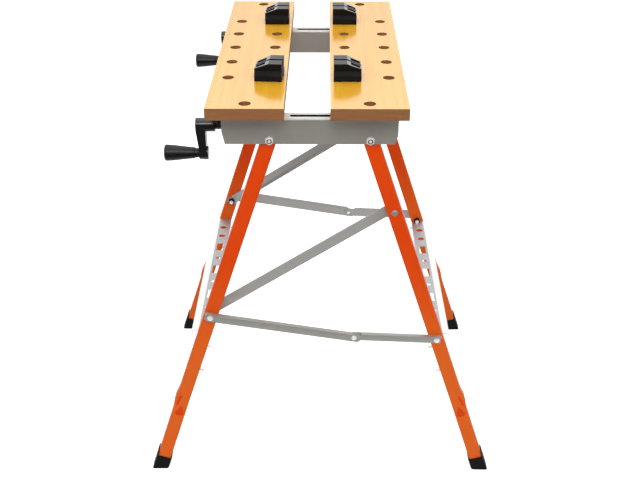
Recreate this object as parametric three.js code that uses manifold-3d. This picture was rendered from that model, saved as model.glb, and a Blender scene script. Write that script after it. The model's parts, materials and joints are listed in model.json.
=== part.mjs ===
// Folding workbench with a two-board clamping top, crank-driven vice screws and splayed folding legs.
// Millimetres, +Z up, +X to the right and +Y from the front end to the rear end.
// The origin is on the floor, under the middle of the bench.
// Both ends of the bench are alike, so each end piece is drawn once for the rear (+Y) end
// and mirrored for the front end. "Out" distances are measured from the middle plane along Y.
import * as THREE from "three";
import { mergeVertices } from "three/addons/utils/BufferGeometryUtils.js";
import Module from "manifold-3d";

const wasm = await Module();
wasm.setup();

// Worktop boards
const TOP_Z = 785;
const BOARD_LENGTH = 605;
const BOARD_WIDTH = 126;
const BOARD_THICK = 20;
const FIXED_INNER_X = -57;
const MOVING_INNER_X = 17;
const HOLE_RADIUS = 10;
const HOLE_COLUMN = 36.5;
const HOLE_PITCH = 80;
const HOLE_END_Y = 280;

// End channels that carry the boards, the screws and the leg pivots
const CHANNEL_X0 = -163;
const CHANNEL_X1 = 130;
const CHANNEL_TOP_Z = 746;
const CHANNEL_HEIGHT = 45;
const CHANNEL_OUT0 = 219.5;
const CHANNEL_OUT1 = 249.5;
const CHANNEL_SHEET = 2;
const SLOT_X0 = -50;
const SLOT_X1 = 68;
const SLOT_WIDTH = 9;

// Vice screws, cranks and carriages
const SCREW_Z = 729.5;
const SCREW_OUT = 234.5;
const SCREW_RADIUS = 5;
const CRANK_RADIUS = 51;
const HUB_X0 = -206.5;
const CRANK_X0 = -202.8;
const CRANK_X1 = -190;
const KNOB_X0 = -262;
const CARRIAGE_X = 35;

// Legs and their linkage
const PIVOT_X = 84;
const PIVOT_Z = 708;
const SPLAY = THREE.MathUtils.degToRad(18.3);
const LEG_WIDTH = 26;
const LEG_DEPTH = 22;
const LEG_WALL = 1.5;
const LEG_OUT = 234.5;
const LEG_KICK = 12;
const LEG_BEND = 577;
const BRACE_ON_LEFT = 372;
const BRACE_ON_RIGHT = 424;
const DIAGONAL_ON_RIGHT = 145;
const KNEE = new THREE.Vector2(63, 312);
const FLANGE = 8;
const SHELF_Z = { left: 309, right: 303 };
const BOLT_RADIUS = 4;
const GAP = 0.3;

// Finishes
const finish = (color, roughness, metalness) =>
  new THREE.MeshStandardMaterial({ color, roughness, metalness });
const WOOD = finish(0xe8b765, 0.35, 0);
const ORANGE = finish(0xd84808, 0.4, 0.1);
const GREY = finish(0x8b8680, 0.5, 0.3);
const ZINC = finish(0xc9ccce, 0.4, 0.8);
const BLACK = finish(0x151515, 0.45, 0);

// Solid modelling helpers

/** A closed geometry as a solid that can be joined and cut. */
function solid(geometry) {
  const plain = geometry.index ? geometry.toNonIndexed() : geometry.clone();
  for (const key of Object.keys(plain.attributes)) {
    if (key !== "position") plain.deleteAttribute(key);
  }
  const merged = mergeVertices(plain, 1e-4);
  return new wasm.Manifold(
    new wasm.Mesh({
      numProp: 3,
      vertProperties: new Float32Array(merged.attributes.position.array),
      triVerts: new Uint32Array(merged.index.array),
    }),
  );
}

/** A solid's surface as a geometry with flat normals. */
function surface(made) {
  const mesh = made.getMesh();
  const geometry = new THREE.BufferGeometry();
  geometry.setAttribute("position", new THREE.BufferAttribute(mesh.vertProperties, mesh.numProp));
  geometry.setIndex(new THREE.BufferAttribute(mesh.triVerts, 1));
  const flat = geometry.toNonIndexed();
  flat.computeVertexNormals();
  return flat;
}

/** The first geometry with all the others cut away. */
function cut(first, ...others) {
  return surface(others.reduce((made, g) => made.subtract(solid(g)), solid(first)));
}

/** All the geometries joined into one. */
function join(first, ...others) {
  return surface(others.reduce((made, g) => made.add(solid(g)), solid(first)));
}

/** The space that two geometries share. */
function common(first, second) {
  return surface(solid(first).intersect(solid(second)));
}

/** A block between two corners. */
function block(x0, x1, y0, y1, z0, z1) {
  const geometry = new THREE.BoxGeometry(x1 - x0, y1 - y0, z1 - z0);
  return geometry.translate((x0 + x1) / 2, (y0 + y1) / 2, (z0 + z1) / 2);
}

/** A round bar along X, Y or Z from a to b, through the point given by its other two coordinates. */
function bar(axis, radius, a, b, p, q, sides = 16) {
  const geometry = new THREE.CylinderGeometry(radius, radius, b - a, sides);
  const middle = (a + b) / 2;
  if (axis === "x") return geometry.rotateZ(-Math.PI / 2).translate(middle, p, q);
  if (axis === "y") return geometry.translate(p, middle, q);
  return geometry.rotateX(Math.PI / 2).translate(p, q, middle);
}

/** An outline of [x, z] points drawn out along Y. */
function prismY(points, y0, y1) {
  const shape = new THREE.Shape(points.map(([x, z]) => new THREE.Vector2(x, z)));
  const geometry = new THREE.ExtrudeGeometry(shape, { depth: y1 - y0, bevelEnabled: false });
  return geometry.rotateX(Math.PI / 2).translate(0, y1, 0);
}

/** An outline of [y, z] points drawn out along X. */
function prismX(points, x0, x1) {
  const shape = new THREE.Shape(points.map(([y, z]) => new THREE.Vector2(y, z)));
  const geometry = new THREE.ExtrudeGeometry(shape, { depth: x1 - x0, bevelEnabled: false });
  const turn = new THREE.Matrix4().makeBasis(
    new THREE.Vector3(0, 1, 0),
    new THREE.Vector3(0, 0, 1),
    new THREE.Vector3(1, 0, 0),
  );
  return geometry.applyMatrix4(turn).translate(x0, 0, 0);
}

/** A turned piece along Y, from [radius, y] points that start and end on the axis. */
function turnedY(points, x, z, sides = 14) {
  const profile = points.map(([radius, y]) => new THREE.Vector2(radius, y));
  return new THREE.LatheGeometry(profile, sides).translate(x, 0, z);
}

/** The same geometry mirrored to the front end of the bench. */
function mirrored(geometry) {
  const flat = geometry.index ? geometry.toNonIndexed() : geometry.clone();
  const position = flat.getAttribute("position");
  const turned = new Float32Array(position.count * 3);
  for (let i = 0; i < position.count; i += 3) {
    [0, 2, 1].forEach((from, to) => {
      const at = (i + to) * 3;
      turned[at] = position.getX(i + from);
      turned[at + 1] = -position.getY(i + from);
      turned[at + 2] = position.getZ(i + from);
    });
  }
  const out = new THREE.BufferGeometry();
  out.setAttribute("position", new THREE.BufferAttribute(turned, 3));
  out.computeVertexNormals();
  return out;
}

/** Points on an arc about a centre, from one angle to another in degrees. */
function arc(cx, cy, radius, from, to, steps) {
  return Array.from({ length: steps + 1 }, (_, i) => {
    const angle = THREE.MathUtils.degToRad(from + ((to - from) * i) / steps);
    return [cx + radius * Math.cos(angle), cy + radius * Math.sin(angle)];
  });
}

/** A rounded rectangle of width and depth about a centre, three points to a corner. */
function roundedRing(width, depth, radius, cx, cy) {
  const x = width / 2 - radius;
  const y = depth / 2 - radius;
  return [
    ...arc(cx + x, cy + y, radius, 0, 90, 2),
    ...arc(cx - x, cy + y, radius, 90, 180, 2),
    ...arc(cx - x, cy - y, radius, 180, 270, 2),
    ...arc(cx + x, cy - y, radius, 270, 360, 2),
  ];
}

/** A closed skin over rings of [x, y] points at rising heights. */
function loft(rings) {
  const count = rings[0].points.length;
  const triangles = [];
  const at = (r, i) => {
    const [x, y] = rings[r].points[(i + count) % count];
    return [x, y, rings[r].z];
  };
  const middle = (r) => {
    const sum = rings[r].points.reduce((s, [x, y]) => [s[0] + x, s[1] + y], [0, 0]);
    return [sum[0] / count, sum[1] / count, rings[r].z];
  };
  const last = rings.length - 1;
  for (let i = 0; i < count; i += 1) {
    for (let r = 0; r < last; r += 1) {
      triangles.push(at(r, i), at(r, i + 1), at(r + 1, i + 1));
      triangles.push(at(r, i), at(r + 1, i + 1), at(r + 1, i));
    }
    triangles.push(middle(0), at(0, i + 1), at(0, i));
    triangles.push(middle(last), at(last, i), at(last, i + 1));
  }
  const geometry = new THREE.BufferGeometry();
  geometry.setAttribute("position", new THREE.Float32BufferAttribute(triangles.flat(), 3));
  geometry.computeVertexNormals();
  return geometry;
}

// The scene graph

const bench = new THREE.Group();

/** A group for one moving body, placed in its parent. */
function body(parent = bench, x = 0, y = 0, z = 0) {
  const group = new THREE.Group();
  group.position.set(x, y, z);
  parent.add(group);
  return group;
}

/** One named piece in a group. */
function piece(group, name, geometry, material) {
  const mesh = new THREE.Mesh(geometry, material);
  mesh.name = name;
  group.add(mesh);
  return mesh;
}

/** The same piece at both ends of the bench, with the rear one drawn and the front one mirrored. */
function atBothEnds(groups, name, geometry, material) {
  piece(groups.rear, name.replace("END", "rear"), geometry, material);
  piece(groups.front, name.replace("END", "front"), mirrored(geometry), material);
}

// Boards and the way they are held

/** A board with its columns of dog holes and two blind holes for its bolts. */
function boardGeometry(x0, boltX) {
  const middle = x0 + BOARD_WIDTH / 2;
  const half = BOARD_LENGTH / 2;
  const under = TOP_Z - BOARD_THICK;
  const holes = [[middle, -HOLE_END_Y], [middle, HOLE_END_Y]];
  for (let row = -2; row <= 2; row += 1) {
    holes.push([middle - HOLE_COLUMN, row * HOLE_PITCH]);
    holes.push([middle + HOLE_COLUMN, row * HOLE_PITCH]);
  }
  const tools = holes.map(([x, y]) => bar("z", HOLE_RADIUS, under - 5, TOP_Z + 5, x, y, 20));
  for (const y of [-SCREW_OUT, SCREW_OUT]) {
    tools.push(bar("z", 3.4, under - 5, under + 12.5, boltX, y, 12));
  }
  return cut(block(x0, x0 + BOARD_WIDTH, -half, half, under, TOP_Z), ...tools);
}

/** A folded sheet riser between a channel and a board. */
function riserGeometry(x0, x1, boltX) {
  const z0 = CHANNEL_TOP_Z + GAP;
  const z1 = TOP_Z - BOARD_THICK - GAP;
  const outer = block(x0, x1, 221, 248, z0, z1);
  const inside = block(x0 - 5, x1 + 5, 223, 246, z0 - 5, z1 - 2);
  return cut(outer, inside, bar("z", 3.4, z1 - 10, z1 + 10, boltX, SCREW_OUT, 12));
}

/** A round-head bolt that stands up through a riser into the board. */
function risingBolt(x, headZ) {
  const profile = [[0, headZ], [6, headZ], [6, headZ + 4], [3, headZ + 4], [3, 776.5], [0, 776.5]];
  const bolt = new THREE.LatheGeometry(profile.map(([r, z]) => new THREE.Vector2(r, z)), 12);
  return bolt.rotateX(Math.PI / 2).translate(x, SCREW_OUT, 0);
}

/** An end channel: an upturned trough with a slot, pivot holes and a plate at the crank end. */
function channelGeometry() {
  const z0 = CHANNEL_TOP_Z - CHANNEL_HEIGHT;
  const z1 = CHANNEL_TOP_Z;
  const t = CHANNEL_SHEET;
  const section = [
    [CHANNEL_OUT0, z0],
    [CHANNEL_OUT0 + t, z0],
    [CHANNEL_OUT0 + t, z1 - t],
    [CHANNEL_OUT1 - t, z1 - t],
    [CHANNEL_OUT1 - t, z0],
    [CHANNEL_OUT1, z0],
    [CHANNEL_OUT1, z1 - 1.5],
    [CHANNEL_OUT1 - 1.5, z1],
    [CHANNEL_OUT0 + 1.5, z1],
    [CHANNEL_OUT0, z1 - 1.5],
  ];
  const plate = block(CHANNEL_X0, CHANNEL_X0 + 2.5, CHANNEL_OUT0 + 1, CHANNEL_OUT1 - 1, 713, z1 - 1);
  const trough = join(prismX(section, CHANNEL_X0, CHANNEL_X1), plate);
  const end = SLOT_WIDTH / 2;
  const slot = [
    bar("z", end, z1 - 10, z1 + 10, SLOT_X0 + end, SCREW_OUT, 16),
    bar("z", end, z1 - 10, z1 + 10, SLOT_X1 - end, SCREW_OUT, 16),
    block(SLOT_X0 + end, SLOT_X1 - end, SCREW_OUT - end, SCREW_OUT + end, z1 - 10, z1 + 10),
  ];
  const corners = [
    prismY([[CHANNEL_X0 - 1, z0 - 1], [CHANNEL_X0 + 5, z0 - 1], [CHANNEL_X0 - 1, z0 + 26]], 200, 270),
    prismY([[CHANNEL_X1 + 1, z0 - 1], [CHANNEL_X1 + 1, z0 + 19], [CHANNEL_X1 - 5, z0 - 1]], 200, 270),
  ];
  const holes = [-PIVOT_X, PIVOT_X].map((x) => bar("y", BOLT_RADIUS + GAP, 200, 270, x, PIVOT_Z, 12));
  holes.push(bar("x", 5.6, CHANNEL_X0 - 5, CHANNEL_X0 + 5, SCREW_OUT, SCREW_Z, 16));
  holes.push(bar("z", 3.4, z1 - 10, z1 + 10, -120, SCREW_OUT, 12));
  return cut(trough, ...slot, ...corners, ...holes);
}

/** A bolt across a channel and a leg, with a lock nut outside and a hexagon head inside the leg. */
function pivotBolt(x) {
  const r = BOLT_RADIUS;
  const shank = turnedY([[0, 212], [r, 212], [r, 250], [3, 250], [3, 256], [0, 256]], x, PIVOT_Z);
  const head = bar("y", 7.4, 249.9, 255, x, PIVOT_Z, 6);
  const nut = bar("y", 7.2, 213, 219.1, x, PIVOT_Z, 6);
  return join(shank, head, nut);
}

const topFrame = body();
const top = { front: topFrame, rear: topFrame };
piece(topFrame, "fixed_board", boardGeometry(FIXED_INNER_X - BOARD_WIDTH, -120), WOOD);
atBothEnds(top, "END_channel", channelGeometry(), GREY);
atBothEnds(top, "END_fixed_riser", riserGeometry(-172, -68, -120), GREY);
atBothEnds(top, "END_fixed_bolt", risingBolt(-120, 739.4), ZINC);
atBothEnds(top, "left_END_pivot_bolt", pivotBolt(-PIVOT_X), ZINC);
atBothEnds(top, "right_END_pivot_bolt", pivotBolt(PIVOT_X), ZINC);
atBothEnds(
  top,
  "END_screw_bush",
  cut(
    bar("x", 7.5, CRANK_X1 + 16.3, CHANNEL_X0 - GAP, SCREW_OUT, SCREW_Z),
    bar("x", 5.4, CRANK_X1, CHANNEL_X0 + 5, SCREW_OUT, SCREW_Z),
  ),
  BLACK,
);

// Moving jaw: board, risers and the carriages that the screws draw along

/** A carriage block inside a channel, bored for the screw, with a post up through the slot. */
function carriageGeometry() {
  const x = CARRIAGE_X;
  const nut = block(x - 15, x + 15, SCREW_OUT - 9, SCREW_OUT + 9, 718.5, CHANNEL_TOP_Z - 2.4);
  const post = block(x - 9.5, x + 9.5, SCREW_OUT - 4, SCREW_OUT + 4, 735, TOP_Z - BOARD_THICK - 2.7);
  return cut(join(nut, post), bar("x", SCREW_RADIUS + GAP, x - 20, x + 20, SCREW_OUT, SCREW_Z));
}

const movingJaw = body();
const jaw = { front: movingJaw, rear: movingJaw };
piece(movingJaw, "moving_board", boardGeometry(MOVING_INNER_X, 105), WOOD);
atBothEnds(jaw, "END_moving_riser", riserGeometry(20, 132, 105), GREY);
atBothEnds(jaw, "END_moving_bolt", risingBolt(105, 758.3), ZINC);
atBothEnds(jaw, "END_carriage", carriageGeometry(), ZINC);

// Vice screws with their cranks and turning knobs

/** The crank arm: a barrel hub with a tapering arm down to the knob pin's boss. */
function crankGeometry() {
  const foot = -CRANK_RADIUS;
  const outline = [...arc(0, 0, 11, -8, 188, 12), ...arc(0, foot, 11, 188, 352, 10)];
  const edge = [[HUB_X0, 20], [CRANK_X1, 20], [CRANK_X1, -80], [CRANK_X0, -80], [CRANK_X0, -38], [HUB_X0, -6]];
  const arm = common(prismX(outline, HUB_X0, CRANK_X1), prismY(edge, -30, 30));
  const hub = bar("x", 11.5, HUB_X0, CRANK_X1 + 16, 0, 0, 24);
  const boss = bar("x", 11.5, CRANK_X1 - 5, CRANK_X1 + 2.4, 0, foot, 20);
  const bore = bar("x", SCREW_RADIUS + GAP, CRANK_X0 + 4, CRANK_X1 + 20, 0, 0);
  const pinHole = bar("x", 4.4, CRANK_X0 - 5, CRANK_X0 + 11, 0, foot);
  return cut(join(arm, hub, boss), bore, pinHole);
}

/** The vice screw with the collar that bears on the inside of the channel's end plate. */
function screwGeometry() {
  const shaft = bar("x", SCREW_RADIUS, CRANK_X0 + 4.3, 100, 0, 0);
  const collar = bar("x", 8, CHANNEL_X0 + 2.9, CHANNEL_X0 + 8, 0, 0);
  return join(shaft, collar);
}

/** The knob: a tapered handle that turns on its pin. */
function knobGeometry() {
  const length = CRANK_X0 - 0.8 - KNOB_X0;
  const bore = length - 6;
  const profile = [
    [4.5, 0],
    [7.8, 0],
    [8.2, 6.6],
    [9.4, 7.4],
    [9.8, 12],
    [10.7, 22],
    [12.4, 36],
    [13.8, length - 6],
    [13.9, length - 3],
    [12.9, length - 0.8],
    [11, length],
    [0, length],
    [0, bore],
    [4.5, bore],
    [4.5, 0],
  ];
  const turned = new THREE.LatheGeometry(profile.map(([r, y]) => new THREE.Vector2(r, y)), 18);
  return turned.rotateZ(Math.PI / 2);
}

const crankArm = crankGeometry();
const viceScrew = screwGeometry();
const knob = knobGeometry();
const knobPin = bar("x", BOLT_RADIUS, KNOB_X0 + 9, CRANK_X0 + 10.6, 0, -CRANK_RADIUS);
for (const [end, side] of [["front", -1], ["rear", 1]]) {
  const crank = body(bench, 0, side * SCREW_OUT, SCREW_Z);
  piece(crank, `${end}_vice_screw`, viceScrew, ZINC);
  piece(crank, `${end}_crank_arm`, crankArm, BLACK);
  piece(crank, `${end}_knob_pin`, knobPin, ZINC);
  const handle = body(crank, CRANK_X0 - 0.8, 0, -CRANK_RADIUS);
  piece(handle, `${end}_knob`, knob, BLACK);
}

// Bench dogs: a grooved block on a peg that turns in a dog hole

/** A dog about its peg, with its clamping face towards +X. */
function dogGeometry() {
  const long = [[-26, 0], [20.5, 0], [20.5, 31.5], [-2, 31.5], [-26, 21.7]];
  const half = [[21.5, 0], [21.5, 9.5], [17, 17], [23.4, 31.5]];
  const end = [...half, ...half.map(([y, z]) => [-y, z]).reverse()];
  const block0 = common(prismY(long, -30, 30), prismX(end, -40, 30));
  const slope = (x, down) => 31.5 - down - (-2 - x) * 0.408;
  const pocket = (y0, y1) =>
    prismY([[-23.8, slope(-23.8, 3.6)], [-8, slope(-8, 3.6)], [-8, 40], [-23.8, 40]], y0, y1);
  const groove = block(-2.1, 30, -3, 3, 27.5, 40);
  const lower = prismY([[-40, slope(-40, 4)], [-2, 27.5], [-2, 40], [-40, 40]], -3, 3);
  const notch = new THREE.CylinderGeometry(6, 6, 60, 4).rotateX(Math.PI / 2).translate(22.5, 0, 10);
  const peg = bar("z", HOLE_RADIUS - 0.3, -28, 1, 0, 0, 24);
  return join(cut(block0, groove, lower, pocket(4.6, 16.8), pocket(-16.8, -4.6), notch), peg);
}

const dog = dogGeometry();
for (const [name, side] of [["left", -1], ["right", 1]]) {
  const inner = side < 0 ? FIXED_INNER_X : MOVING_INNER_X;
  const x = inner + side * (BOARD_WIDTH / 2 - HOLE_COLUMN);
  for (const [end, y] of [["front", -2 * HOLE_PITCH], ["rear", 2 * HOLE_PITCH]]) {
    const turned = body(bench, x, y, TOP_Z + GAP);
    turned.rotation.z = side < 0 ? 0 : Math.PI;
    if (side < 0 && y < 0) turned.rotation.z = THREE.MathUtils.degToRad(-4);
    piece(turned, `${name}_${end}_dog`, dog, BLACK);
  }
}

// Legs: bent tubes hung from the channels, drawn straight down from the pivot at the origin

const FLOOR = PIVOT_Z / Math.cos(SPLAY);
const LEG_END = (PIVOT_Z - 9) / Math.cos(SPLAY);

/** How far the lower leg has kicked outwards at a depth below the pivot. */
const kickAt = (depth) => (depth < LEG_BEND ? 0 : (LEG_KICK * (depth - LEG_BEND)) / (FLOOR - LEG_BEND));

/** A tube along the leg's bent line between two depths. */
function legTube(width, depth, radius, from, to) {
  const stops = [to, LEG_BEND + 12, LEG_BEND - 12, from].filter((d) => d <= to && d >= from);
  const rings = stops.map((d) => ({
    z: -d,
    points: roundedRing(width, depth, radius, 0, LEG_OUT + kickAt(d)),
  }));
  return loft(rings);
}

/** A leg with a rounded head, open at both ends, and its bolt holes. */
function legGeometry(holes) {
  const head = LEG_WIDTH / 2;
  const outer = legTube(LEG_WIDTH, LEG_DEPTH, 3, -head, LEG_END);
  const inner = legTube(LEG_WIDTH - 2 * LEG_WALL, LEG_DEPTH - 2 * LEG_WALL, 1.5, -head - 5, LEG_END + 5);
  const outline = [...arc(0, 0, head, 0, 180, 10), [-head - 5, -5], [-head - 5, -900], [head + 5, -900], [head + 5, -5]];
  const tools = holes.map((d) => bar("y", BOLT_RADIUS + GAP, 200, 270, 0, -d, 12));
  return cut(common(outer, prismY(outline, 200, 290)), inner, ...tools);
}

/** A rubber foot: a sleeve on the leg's end with a taller wall on the outer side, flat on the floor. */
function footGeometry(side) {
  const sleeve = legTube(30.4, 27, 3.5, LEG_END - 19, FLOOR + 14);
  const wall = common(
    legTube(30.4, 27, 3.5, LEG_END - 29, FLOOR),
    block(side > 0 ? 13.1 : -40, side > 0 ? 40 : -13.1, 200, 290, -900, 0),
  );
  const socket = legTube(LEG_WIDTH + 0.6, LEG_DEPTH + 0.6, 3, LEG_END - 60, LEG_END + GAP);
  const floor = block(-400, 400, 100, 400, -300, 0);
  floor.translate(0, 0, -PIVOT_Z).rotateY(side * SPLAY);
  return cut(join(sleeve, wall), socket, floor);
}

/** A perforated tool shelf between the legs of one side, with a plain lip beyond them and turned edges. */
function shelfGeometry(side, top) {
  const middle = side * (PIVOT_X + (PIVOT_Z - top) * Math.tan(SPLAY));
  const half = LEG_OUT - LEG_DEPTH / 2 - 1;
  const inner = middle - side * 12.5;
  const outer = middle + side * 25;
  const low = Math.min(inner, outer);
  const high = Math.max(inner, outer);
  const sheet = block(low, high, -half, half, top - 1.5, top);
  const edge = (x) => block(Math.min(x, x - side * 1.5), Math.max(x, x - side * 1.5), -half, half, top - 12, top);
  const row = middle + side * 1.5;
  const round = [[-182, 7.5], [-143, 7.5], [-47, 5], [47, 5], [143, 7.5], [182, 7.5]];
  const holes = round.map(([y, radius]) => bar("z", radius, top - 20, top + 20, row, y, 14));
  for (const y of [-94, 0, 94]) holes.push(block(row - 7, row + 7, y - 16, y + 16, top - 20, top + 20));
  const pin = onLeg(1, BRACE_ON_RIGHT);
  if (side > 0) for (const y of [-230, 213.3]) holes.push(bar("y", 8.4, y, y + 16.7, pin.x, pin.y));
  return cut(join(sheet, edge(inner + side * 1.5), edge(outer)), ...holes);
}

/** The rivet-headed bolt that holds a long brace to a leg, with a spacing collar and its nut inside. */
function braceBolt(depth, headOut, collarOut, nutOut) {
  const r = BOLT_RADIUS;
  const profile = [
    [0, nutOut - 9],
    [r, nutOut - 9],
    [r, collarOut],
    [8, collarOut],
    [8, collarOut + 2.2],
    [r, collarOut + 2.2],
    [r, headOut],
    [5.9, headOut],
    [5.5, headOut + 1.9],
    [3.4, headOut + 3.2],
    [0, headOut + 3.6],
  ];
  const shank = turnedY(profile, 0, -depth);
  return join(shank, bar("y", 7.2, nutOut - 6.4, nutOut, 0, -depth, 6));
}

/** The stud and nut inside a leg behind the end of a short brace. */
function braceStud(depth, nutOut) {
  const out = LEG_OUT + LEG_DEPTH / 2 - GAP;
  const shank = bar("y", BOLT_RADIUS, nutOut - 9, out, 0, -depth, 14);
  return join(shank, bar("y", 7.2, nutOut - 6.4, nutOut, 0, -depth, 6));
}

/** The short bolt at a diagonal's upper pivot, which stays inside the leg. */
function diagonalBolt(depth) {
  const r = BOLT_RADIUS;
  const out = LEG_OUT + LEG_DEPTH / 2 + GAP;
  const profile = [[0, 224], [r, 224], [r, out], [6, out], [6, out + 1], [4.6, out + 2.6], [0, out + 3.2]];
  return turnedY(profile, 0, -depth);
}

const legGroups = {};
for (const [name, side] of [["left", -1], ["right", 1]]) {
  const frame = body();
  const hung = body(frame, side * PIVOT_X, 0, PIVOT_Z);
  hung.rotation.y = -side * SPLAY;
  legGroups[name] = hung;
  const legs = { front: hung, rear: hung };
  const holes = name === "left" ? [0, BRACE_ON_LEFT] : [0, DIAGONAL_ON_RIGHT, BRACE_ON_RIGHT];
  atBothEnds(legs, `${name}_END_leg`, legGeometry(holes), ORANGE);
  atBothEnds(legs, `${name}_END_foot`, footGeometry(side), BLACK);
  piece(frame, `${name}_tool_shelf`, shelfGeometry(side, SHELF_Z[name]), ZINC);
}
const leftEnds = { front: legGroups.left, rear: legGroups.left };
const rightEnds = { front: legGroups.right, rear: legGroups.right };
atBothEnds(leftEnds, "left_END_brace_bolt", braceBolt(BRACE_ON_LEFT, 250.6, 245.8, 220.4), ZINC);
atBothEnds(rightEnds, "right_END_brace_stud", braceStud(BRACE_ON_RIGHT, 223.2), ZINC);
atBothEnds(rightEnds, "right_END_diagonal_bolt", diagonalBolt(DIAGONAL_ON_RIGHT), ZINC);

// Linkage: a two-part knee brace outside the legs and a diagonal inside them

/** A point on a leg, at a distance down from its pivot. */
function onLeg(side, depth) {
  return new THREE.Vector2(
    side * (PIVOT_X + depth * Math.sin(SPLAY)),
    PIVOT_Z - depth * Math.cos(SPLAY),
  );
}

/** A strip along X from the origin with rounded ends. */
function strip(length, half, y0, y1, overhang, before = 0) {
  const outline = [...arc(-before, 0, half, 90, 270, 8), ...arc(length + overhang - half, 0, half, -90, 90, 8)];
  return prismY(outline, y0, y1);
}

/** A brace half from its leg to the knee: a web with a flange along its upper edge. */
function braceGeometry(length, out, flangeFrom, flangeTo, overhang, before, flip) {
  const half = 10;
  const low = flip ? 7.2 : 9.2;
  const whole = strip(length, half, out, out + 2, overhang, before);
  const below = flip ? [low, 20] : [-20, -low];
  const web = cut(
    whole,
    block(-20, length + 30, out - 1, out + 3, below[0], below[1]),
    block(-30, flangeFrom, out - 1, out + 3, -20, 20),
  );
  const upper = flip ? [-half, -half + 1.8] : [half - 1.8, half];
  const flange = block(flangeFrom, flangeTo, out, out + FLANGE, upper[0], upper[1]);
  const holes = [0, length].map((x) => bar("y", BOLT_RADIUS + GAP, 200, 280, x, 0, 16));
  return cut(join(web, flange), ...holes);
}

/** A round-headed rivet from the inside of the short brace's web. */
function rivetGeometry(headOut, headRadius, rise, x) {
  const in0 = 246.2;
  const profile = [
    [0, in0],
    [3.8, in0],
    [3.8, headOut],
    [headRadius, headOut],
    [headRadius * 0.92, headOut + rise * 0.5],
    [headRadius * 0.54, headOut + rise * 0.9],
    [0, headOut + rise],
  ];
  return turnedY(profile, x, 0);
}

/** A diagonal: an angle with its flange along the lower edge and plain rounded ends. */
function diagonalGeometry(length) {
  const half = 9.8;
  const web = strip(length, half, 220.8, 222.8, half);
  const lower = block(16, length - 16, 214, 221.5, -half, -half + 2);
  return cut(join(web, lower), bar("y", BOLT_RADIUS + GAP, 200, 280, 0, 0, 16));
}

/** A group at one pin of the linkage, turned so that its X axis points at another pin. */
function link(from, to) {
  const group = body(bench, from.x, 0, from.y);
  group.rotation.y = -Math.atan2(to.y - from.y, to.x - from.x);
  return group;
}

const pinA = onLeg(-1, BRACE_ON_LEFT);
const pinB = onLeg(1, DIAGONAL_ON_RIGHT);
const pinC = onLeg(1, BRACE_ON_RIGHT);
const longLength = pinA.distanceTo(KNEE);
const shortLength = pinC.distanceTo(KNEE);
const longLink = { front: link(pinA, KNEE), rear: link(pinA, KNEE) };
const shortLink = { front: link(pinC, KNEE), rear: link(pinC, KNEE) };
const diagonal = { front: link(pinA, pinB), rear: link(pinA, pinB) };
const longBrace = braceGeometry(longLength, 248.3, -10.5, longLength - 4, 14, 2, false);
const shortBrace = braceGeometry(shortLength, 246, -7.4, shortLength - 13, 10, 0, true);
atBothEnds(longLink, "END_brace_long", longBrace, GREY);
atBothEnds(longLink, "END_knee_rivet", rivetGeometry(250.6, 5.2, 3, longLength), ZINC);
atBothEnds(shortLink, "END_brace_short", shortBrace, GREY);
atBothEnds(shortLink, "END_brace_end_rivet", rivetGeometry(248.3, 5.9, 3.6, 0), ZINC);
atBothEnds(diagonal, "END_diagonal", diagonalGeometry(pinA.distanceTo(pinB)), GREY);

export default bench;
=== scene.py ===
"""Looks of a folding workbench: boards, vice, dogs, legs and linkage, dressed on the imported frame."""

from __future__ import annotations

import json
import logging
import math
from dataclasses import dataclass
from enum import Enum
from typing import Any, Callable, Optional, Sequence

import bmesh
import bpy
from mathutils import Matrix, Vector

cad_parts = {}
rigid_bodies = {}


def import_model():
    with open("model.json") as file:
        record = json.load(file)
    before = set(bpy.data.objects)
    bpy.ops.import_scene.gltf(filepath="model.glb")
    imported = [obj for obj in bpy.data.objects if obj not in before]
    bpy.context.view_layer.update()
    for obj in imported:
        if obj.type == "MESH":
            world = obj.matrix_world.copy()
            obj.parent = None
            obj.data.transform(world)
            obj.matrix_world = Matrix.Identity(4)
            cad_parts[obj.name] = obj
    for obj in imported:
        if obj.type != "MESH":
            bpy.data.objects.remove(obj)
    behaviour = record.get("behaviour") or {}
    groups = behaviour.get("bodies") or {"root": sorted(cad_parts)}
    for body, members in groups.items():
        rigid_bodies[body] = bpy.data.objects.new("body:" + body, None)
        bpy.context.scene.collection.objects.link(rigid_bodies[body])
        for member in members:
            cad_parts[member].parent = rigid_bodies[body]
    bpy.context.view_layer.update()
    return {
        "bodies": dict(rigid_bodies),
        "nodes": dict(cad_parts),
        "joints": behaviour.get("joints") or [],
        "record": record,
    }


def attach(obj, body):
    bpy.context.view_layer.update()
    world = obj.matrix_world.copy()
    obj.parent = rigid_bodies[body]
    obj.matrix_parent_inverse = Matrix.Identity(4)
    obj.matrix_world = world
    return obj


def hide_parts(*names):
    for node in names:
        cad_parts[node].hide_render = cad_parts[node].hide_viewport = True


LOG = logging.getLogger("workbench")
MM = 0.001
ENDS: dict[str, int] = {"front": -1, "rear": 1}
SIDES: dict[str, int] = {"left": -1, "right": 1}


class Slot(str, Enum):
    """The record's material slots."""

    WOOD = "varnished_wood"
    ORANGE = "orange_paint"
    GREY = "grey_paint"
    ZINC = "zinc"
    BLACK = "black_plastic"


class Axis(Enum):
    """Directions that a turned piece can lie along."""

    X = (1.0, 0.0, 0.0)
    Y = (0.0, 1.0, 0.0)


# Shader maths


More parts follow.
